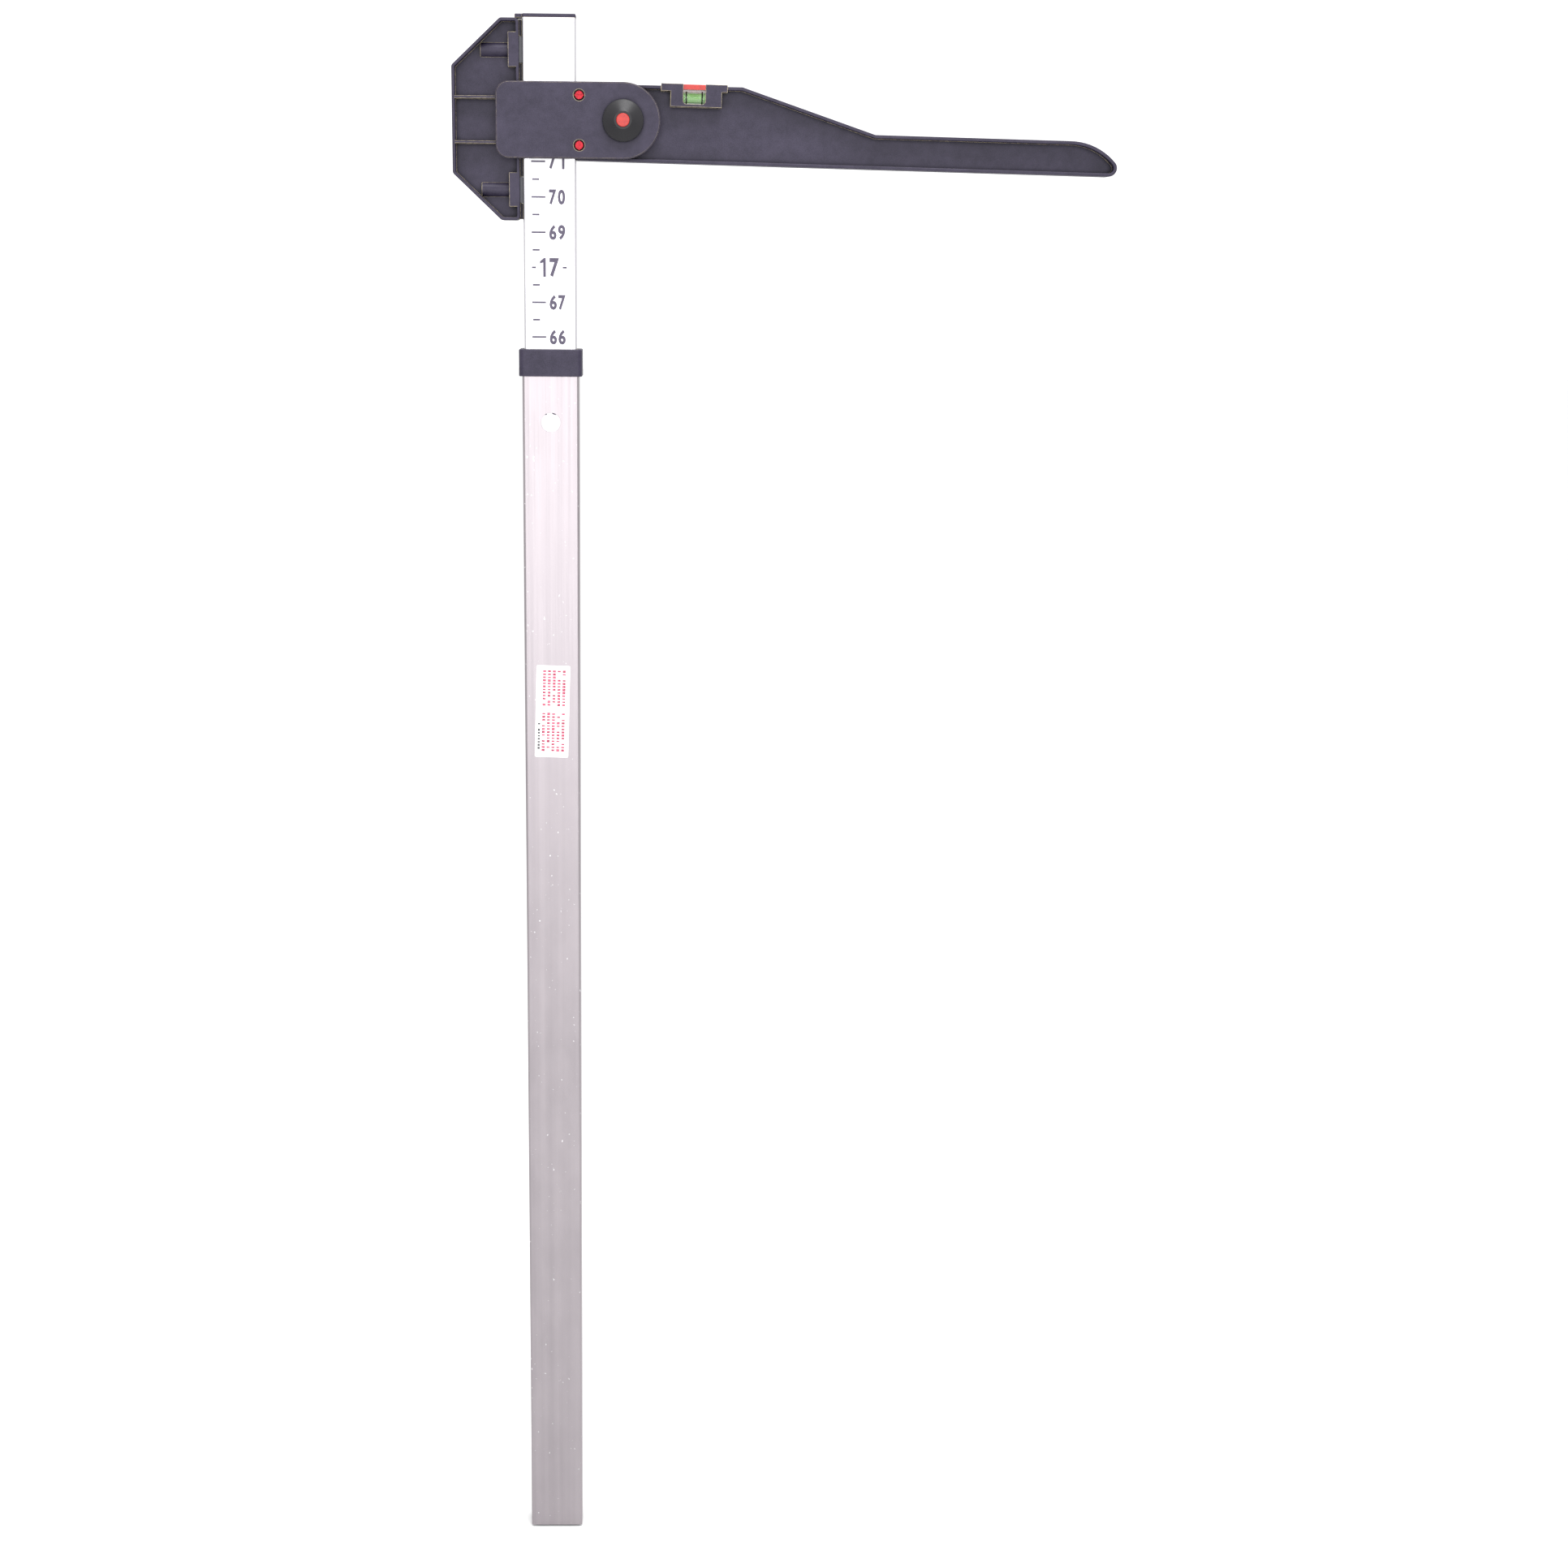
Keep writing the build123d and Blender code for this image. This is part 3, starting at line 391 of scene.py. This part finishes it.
for name, ink, values, offset in label_columns:
    column = tree_piece(name, bar_columns(name, ink), values, "outer_section")
    column.data.transform(
        Matrix.Translation((label_middle.x, label_low.y - LABEL_LIFT, label_middle.z))
        @ Matrix.Rotation(LABEL_TILT, 4, "Y")
        @ Matrix.Translation(offset)
    )

# ----------------------------------------------------- inner tube and printed scale
# The upper section slides in the lower one. A white film with the scale is stuck to
# its front: inches with half-inch marks, and hands in place of every fourth inch.

inner_aluminium = anodised("inner_aluminium", (0.56, 0.55, 0.575, 1), (0.49, 0.48, 0.505, 1), 0.33)
put_on(inner_aluminium, "inner_tube")

scale_film = Finish("scale_film", {"Coat Weight": 0.15})
film_tone = scale_film.noise(scale_film.place(scale=(1, 1, 0.2)), 70, 3.0)
scale_film.tint(film_tone, (0.70, 0.69, 0.71, 1), (0.75, 0.745, 0.76, 1))
scale_film.drive("Roughness", scale_film.spread(film_tone, 0.3, 0.7, 0.30, 0.40))
put_on(scale_film, "scale_strip")

scale_ink = Finish("scale_ink", {"Roughness": 0.42})
ink_tone = scale_ink.noise(scale_ink.place(), 1800, 3.0)
scale_ink.tint(ink_tone, (0.026, 0.019, 0.044, 1), (0.058, 0.044, 0.085, 1))

INCH = 0.0254
KNOWN_INCH = 68
KNOWN_HEIGHT = 1.0390
FIRST_INCH = 40
LAST_INCH = 73
HAND = 4
TICK_LEFT = -13.5 * MM
TICK_LENGTH = 10.4 * MM
SHORT_TICK_INDENT = 0.6 * MM
FIGURE_HEIGHT = 11.0 * MM
HAND_FIGURE_HEIGHT = 13.8 * MM
INK = 0.03 * MM
strip_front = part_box("scale_strip")[0][1]


def inch_height(inch):
    """Height of an inch mark with the stick pushed in."""
    return KNOWN_HEIGHT + (inch - KNOWN_INCH) * INCH


def scale_marks():
    """Long marks at inches, a dash each side of whole hands, and short marks between."""
    sizes = {
        "Inches": ("Int", LAST_INCH - FIRST_INCH + 1),
        "Pitch": ("Float", INCH),
        "Long Mark": ("Float", TICK_LENGTH),
        "Short Mark": ("Float", 5.3 * MM),
        "Line": ("Float", 1.3 * MM),
        "Ink": ("Float", INK),
        "Left": ("Float", TICK_LEFT),
        "Hand": ("Int", HAND),
        "Dash": ("Float", 3.1 * MM),
        "Right Dash": ("Float", 9.4 * MM),
    }
    tree = Tree("scale_marks", sizes, scale_ink.material)
    index = tree.node("GeometryNodeInputIndex", {}, {})
    step = tree.vector(0.0, 0.0, tree.size("Pitch"))
    whole = tree.node("GeometryNodeMeshLine", {}, {"Count": tree.size("Inches"), "Offset": step})
    after = tree.maths("MODULO", index, tree.size("Hand"))
    is_hand = tree.compare("LESS_THAN", after, 0.5)
    is_inch = tree.node("FunctionNodeBooleanMath", {"operation": "NOT"}, {0: is_hand})
    last = tree.maths("SUBTRACT", tree.size("Inches"), 1.5)
    below_last = tree.compare("LESS_THAN", index, last)

    def marks(length, left, lift, chosen):
        middle = tree.maths("ADD", left, tree.maths("MULTIPLY", length, 0.5))
        size = tree.vector(length, tree.size("Ink"), tree.size("Line"))
        shape = tree.node("GeometryNodeMeshCube", {}, {"Size": size})
        place = tree.vector(middle, 0.0, lift)
        moved = tree.node("GeometryNodeTransform", {}, {"Geometry": shape, "Translation": place})
        inputs = {"Points": whole, "Instance": moved, "Selection": chosen}
        return tree.node("GeometryNodeInstanceOnPoints", {}, inputs)

    half_inch = tree.maths("MULTIPLY", tree.size("Pitch"), 0.5)
    short_left = tree.maths("ADD", tree.size("Left"), SHORT_TICK_INDENT)
    return tree.finish(
        marks(tree.size("Long Mark"), tree.size("Left"), 0.0, is_inch),
        marks(tree.size("Short Mark"), short_left, half_inch, below_last),
        marks(tree.size("Dash"), tree.size("Left"), 0.0, is_hand),
        marks(tree.size("Dash"), tree.size("Right Dash"), 0.0, is_hand),
    )


ONE = ((0.54, 0.0), (1.0, 0.0), (1.0, 1.0), (0.66, 1.0), (0.0, 0.82), (0.0, 0.69), (0.54, 0.76))
ONE_INDENT = 0.2
ONE_OUTDENT = 0.4


def glyph(text):
    """Flat mesh of one digit. A 1 is drawn with a flag, and the others come from a font."""
    flat = bpy.data.meshes.new("digit")
    if text == "1":
        flat.from_pydata([(x, y, 0) for x, y in ONE], [], [(0, 1, 2, 3, 6), (3, 4, 5, 6)])
        shape = bmesh.new()
        shape.from_mesh(flat)
        rim = bmesh.ops.extrude_face_region(shape, geom=shape.faces[:])["geom"]
        corners = [part for part in rim if isinstance(part, bmesh.types.BMVert)]
        bmesh.ops.translate(shape, vec=(0, 0, 1), verts=corners)
        bmesh.ops.recalc_face_normals(shape, faces=shape.faces)
        shape.to_mesh(flat)
        shape.free()
        return flat
    curve = bpy.data.curves.new("digit", "FONT")
    curve.body = text
    curve.size = 1.0
    curve.offset = 0.04
    curve.resolution_u = 3
    curve.extrude = 0.001
    holder = bpy.data.objects.new("digit", curve)
    bpy.context.scene.collection.objects.link(holder)
    flat = bpy.data.meshes.new_from_object(
        holder.evaluated_get(bpy.context.evaluated_depsgraph_get())
    )
    bpy.data.objects.remove(holder)
    return flat


def digit(text, height, left, right, middle):
    """One condensed digit between two sides of the film, centred on its mark."""
    flat = glyph(text)
    low = Vector([min(v.co[i] for v in flat.vertices) for i in range(3)])
    high = Vector([max(v.co[i] for v in flat.vertices) for i in range(3)])
    size = high - low
    flat.transform(Matrix.Translation(-(low + high) / 2))
    flat.transform(Matrix.Diagonal(((right - left) / size.x, height / size.y, INK / size.z, 1)))
    flat.transform(Matrix.Rotation(math.radians(90), 4, "X"))
    flat.transform(Matrix.Translation(((left + right) / 2, 0, middle)))
    return flat


def numeral(target, text, height, cells, middle):
    """Adds a number's digits to a mesh, each in its own cell; a 1 leaves room on its left."""
    for letter, (left, right) in zip(text, cells):
        room = ONE_INDENT * (right - left) if letter == "1" else 0.0
        shape = digit(letter, height, left + room, right - room * ONE_OUTDENT, middle)
        target.from_mesh(shape)
        bpy.data.meshes.remove(shape)


marks = tree_piece("scale_marks", scale_marks(), {}, "inner_section")
marks.data.transform(Matrix.Translation((0, strip_front - INK / 2, inch_height(FIRST_INCH))))

figures = bmesh.new()
INCH_CELLS = ((-0.5 * MM, 5.0 * MM), (6.0 * MM, 11.5 * MM))
HAND_CELLS = ((-8.7 * MM, -2.6 * MM), (-0.4 * MM, 6.8 * MM))
for inch in range(FIRST_INCH, LAST_INCH + 1):
    if inch % HAND:
        numeral(figures, str(inch), FIGURE_HEIGHT, INCH_CELLS, inch_height(inch))
    else:
        hands = str(inch // HAND)
        numeral(figures, hands, HAND_FIGURE_HEIGHT, HAND_CELLS, inch_height(inch))
bmesh.ops.remove_doubles(figures, verts=figures.verts, dist=1e-7)
bmesh.ops.recalc_face_normals(figures, faces=figures.faces)
figures_mesh = bpy.data.meshes.new("scale_figures")
figures.to_mesh(figures_mesh)
figures.free()
figures_mesh.transform(Matrix.Translation((0, strip_front - INK / 2, 0)))
figures_mesh.materials.append(scale_ink.material)
scale_figures = bpy.data.objects.new("scale_figures", figures_mesh)
bpy.context.scene.collection.objects.link(scale_figures)
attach(scale_figures, "inner_section")

# ------------------------------------------------- top cap, tail plug and lock button
# Moulded plugs close the inner tube. A dark nylon button on a bent leaf spring comes
# level with the outer tube's hole when the stick is drawn right out. The brake shoes
# and their springs are of the same nylon and steel.

put_on(black_plastic, "top_cap", "tail_plug")

grey_nylon = Finish("grey_nylon", {})
nylon_tone = grey_nylon.noise(grey_nylon.place(), 500, 4.0, 0.6)
grey_nylon.tint(nylon_tone, (0.030, 0.030, 0.038, 1), (0.055, 0.055, 0.066, 1))
grey_nylon.drive("Roughness", grey_nylon.spread(nylon_tone, 0.3, 0.7, 0.40, 0.55))
grey_nylon.bump(nylon_tone, 0.00003, 0.4)
put_on(grey_nylon, "lock_button", "brake_shoe_upper", "brake_shoe_lower")


def plated(name, bright, dull, roughness, scale):
    """Metal with a mottled plated or drawn surface."""
    finish = Finish(name, {"Metallic": 1.0})
    mottle = finish.noise(finish.place(), scale, 4.0, 0.6)
    finish.tint(mottle, dull, bright)
    finish.drive("Roughness", finish.spread(mottle, 0.3, 0.7, roughness - 0.07, roughness + 0.08))
    finish.bump(mottle, 0.00002, 0.4)
    return finish


spring_steel = plated("spring_steel", (0.46, 0.46, 0.48, 1), (0.34, 0.34, 0.36, 1), 0.3, 900)
put_on(spring_steel, "lock_spring", "shoe_spring_upper", "shoe_spring_lower")

# ----------------------------------------------------------------------- carriage
# The frame rides on the tube's left side and is gripped between two thick plates.
# All are black mouldings with the same fine grain.

put_on(black_plastic, "carriage_frame", "front_plate", "rear_plate")

# ------------------------------------------------------------ screws, nuts, spacers
# Two red lacquered cheese-head screws, sunk in counterbores, hold the plates apart
# on steel spacers and end in plated nuts let into the rear plate.

red_lacquer = Finish("red_lacquer", {"Coat Weight": 0.15, "Coat Roughness": 0.08, "Metallic": 0.88})
lacquer_tone = red_lacquer.noise(red_lacquer.place(), 900, 3.0, 0.6)
red_lacquer.tint(lacquer_tone, (0.15, 0.003, 0.008, 1), (0.30, 0.009, 0.018, 1))
red_lacquer.drive("Roughness", red_lacquer.spread(lacquer_tone, 0.3, 0.7, 0.22, 0.36))
put_on(red_lacquer, "cover_screws")

zinc_steel = plated("zinc_steel", (0.66, 0.67, 0.70, 1), (0.52, 0.54, 0.56, 1), 0.3, 700)
put_on(zinc_steel, "plate_spacers", "screw_nuts", "pivot_bolt")

white_nylon = Finish("white_nylon", {"Roughness": 0.45})
washer_tone = white_nylon.noise(white_nylon.place(), 700, 3.0, 0.6)
white_nylon.tint(washer_tone, (0.72, 0.71, 0.67, 1), (0.82, 0.81, 0.78, 1))
white_nylon.bump(washer_tone, 0.00002, 0.3)
put_on(white_nylon, "friction_washers", "vial_plugs")

# --------------------------------------------------------------------- clamp knob
# A satin black cone that screws down on the pivot bolt to clamp the arm. It has a
# brass insert, and a red plastic cap let into its nose.

gloss_black = Finish("gloss_black", {"Specular IOR Level": 0.25})
scuffs = gloss_black.noise(gloss_black.place(scale=(1, 4, 1)), 500, 5.0, 0.7)
haze = gloss_black.noise(gloss_black.place(), 90, 2.0)
gloss_black.drive(
    "Base Color", gloss_black.blend(haze, (0.008, 0.008, 0.010, 1), (0.016, 0.015, 0.017, 1))
)
gloss_black.drive("Roughness", gloss_black.spread(scuffs * 0.6 + haze * 0.4, 0.35, 0.65, 0.36, 0.50))
gloss_black.bump(haze, 0.00003, 0.3)
put_on(gloss_black, "clamp_knob")

red_plastic = Finish("red_plastic", {"Specular IOR Level": 0.3})
red_flow = red_plastic.noise(red_plastic.place(), 260, 4.0, 0.6)
red_plastic.tint(red_flow, (0.28, 0.018, 0.017, 1), (0.40, 0.030, 0.022, 1))
red_plastic.drive("Roughness", red_plastic.spread(red_flow, 0.3, 0.7, 0.24, 0.36))
red_plastic.bump(red_flow, 0.00003, 0.3)
put_on(red_plastic, "knob_cap", "vial_clip")

brass = plated("brass", (0.80, 0.60, 0.28, 1), (0.66, 0.47, 0.20, 1), 0.28, 900)
put_on(brass, "knob_insert", "arm_bush")

# ---------------------------------------------------------------------------- arm
# A long black moulding with a thin web inside a raised rim. It pivots on a brass
# bush between the plates and rests with its toe against the tube's side.

put_on(black_plastic, "arm")

# ------------------------------------------------------------------- spirit level
# A clear acrylic vial with green fluid and two painted rings, held in a black
# cradle by a red clip that shows as a bar over the window. The vial is finished as
# a thin skin painted whiter at its rims as a painted reflection, and the green fluid
# glows faintly, painted light that brightens it.

put_on(black_plastic, "level_holder")

clear_acrylic = Finish("clear_acrylic", {"Coat Weight": 1.0, "Coat Roughness": 0.04})
smears = clear_acrylic.noise(clear_acrylic.place(), 300, 3.0)
# Painted reflection: the skin turns whitish and opaque where it is seen at a slant, so the vial's
# rims look lit.
painted_rim_reflection = clear_acrylic.node("ShaderNodeLayerWeight", {}, {"Blend": 0.5}).out("Facing")
clear_acrylic.drive("Alpha", clear_acrylic.spread(painted_rim_reflection + smears * 0.05, 0.30, 0.66, 0.08, 0.86))
clear_acrylic.drive(
    "Base Color", clear_acrylic.blend(smears, (0.66, 0.72, 0.66, 1), (0.84, 0.88, 0.84, 1))
)
clear_acrylic.drive("Roughness", clear_acrylic.spread(smears, 0.3, 0.7, 0.04, 0.12))
put_on(clear_acrylic, "level_vial")

# The fluid glows a little in its own colour: painted light that brightens the green.
green_fluid = Finish("green_fluid", {"Specular IOR Level": 0.05, "Emission Strength": 0.25})
murk = green_fluid.noise(green_fluid.place(), 260, 2.0)
fluid_colour_and_glow = green_fluid.blend(murk, (0.17, 0.40, 0.09, 1), (0.24, 0.50, 0.13, 1))
green_fluid.drive("Base Color", fluid_colour_and_glow)
green_fluid.drive("Emission Color", fluid_colour_and_glow)
green_fluid.drive("Roughness", green_fluid.spread(murk, 0.3, 0.7, 0.35, 0.55))
put_on(green_fluid, "vial_fluid")

ring_paint = Finish("ring_paint", {"Roughness": 0.4})
ring_tone = ring_paint.noise(ring_paint.place(), 1500, 2.0)
ring_paint.drive(
    "Base Color", ring_paint.blend(ring_tone, (0.008, 0.008, 0.009, 1), (0.02, 0.02, 0.022, 1))
)


def vial_rings():
    """Two thin painted rings round the vial, laid along X about the origin."""
    sizes = {
        "Spacing": ("Float", 11.6 * MM),
        "Width": ("Float", 0.9 * MM),
        "Radius": ("Float", 4.77 * MM),
        "Paint": ("Float", 0.06 * MM),
    }
    tree = Tree("vial_rings", sizes, ring_paint.material)
    circle = {"Resolution": 48, "Radius": tree.size("Radius")}
    path = tree.node("GeometryNodeCurvePrimitiveCircle", {}, circle)
    section = tree.node(
        "GeometryNodeCurvePrimitiveQuadrilateral", {}, {0: tree.size("Paint"), 1: tree.size("Width")}
    )
    ring = tree.node("GeometryNodeCurveToMesh", {}, {"Curve": path, "Profile Curve": section})
    stood = tree.node(
        "GeometryNodeTransform", {}, {"Geometry": ring, "Rotation": (0, math.radians(90), 0)}
    )
    start = tree.vector(tree.maths("MULTIPLY", tree.size("Spacing"), -0.5))
    line = tree.node(
        "GeometryNodeMeshLine",
        {},
        {"Count": 2, "Start Location": start, "Offset": tree.vector(tree.size("Spacing"))},
    )
    pair = tree.node("GeometryNodeInstanceOnPoints", {}, {"Points": line, "Instance": stood})
    return tree.finish(pair)


ARM_DROOP = math.radians(1.115)
vial_low, vial_high = (Vector(corner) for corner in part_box("level_vial"))
vial_middle = (vial_low + vial_high) / 2
rings = tree_piece("vial_rings", vial_rings(), {}, "arm")
rings.data.transform(Matrix.Translation(vial_middle) @ Matrix.Rotation(ARM_DROOP, 4, "Y"))

# ------------------------------------------------------------------ floor and light
# A wide pale floor under a pale sky, with a large soft light in front of the head
# and a smaller one overhead, so the tubes darken towards the foot.

floor_paint = Finish("floor_paint", {"Roughness": 0.9})
floor_tone = floor_paint.noise(floor_paint.place(), 3.0, 4.0)
floor_paint.drive(
    "Base Color", floor_paint.blend(floor_tone, (0.79, 0.79, 0.79, 1), (0.81, 0.81, 0.81, 1))
)
floor_mesh = bmesh.new()
bmesh.ops.create_grid(floor_mesh, x_segments=4, y_segments=4, size=20.0)
floor_data = bpy.data.meshes.new("floor")
floor_mesh.to_mesh(floor_data)
floor_mesh.free()
floor_data.materials.append(floor_paint.material)
floor = bpy.data.objects.new("floor", floor_data)
bpy.context.scene.collection.objects.link(floor)

sky = bpy.data.worlds.new("sky")
sky.use_nodes = True
sky_inputs = sky.node_tree.nodes["Background"].inputs
sky_inputs["Color"].default_value = (1.0, 1.0, 1.0, 1)
sky_inputs["Strength"].default_value = 1.26
bpy.context.scene.world = sky


def soft_light(name, place, target, width, height, power):
    """Rectangular soft light, turned towards a point on the stick."""
    data = bpy.data.lights.new(name, "AREA")
    data.shape = "RECTANGLE"
    data.size, data.size_y = width, height
    data.energy = power
    light = bpy.data.objects.new(name, data)
    light.location = place
    light.rotation_euler = (Vector(target) - Vector(place)).to_track_quat("-Z", "Y").to_euler()
    bpy.context.scene.collection.objects.link(light)


soft_light("front_light", (0.2, -3.0, 1.2), (0.0, 0.0, 1.1), 2.4, 2.2, 50)
soft_light("top_light", (0.25, -0.6, 2.5), (0.05, 0.0, 1.1), 1.0, 0.7, 32)

bpy.context.scene.view_settings.view_transform = "Standard"
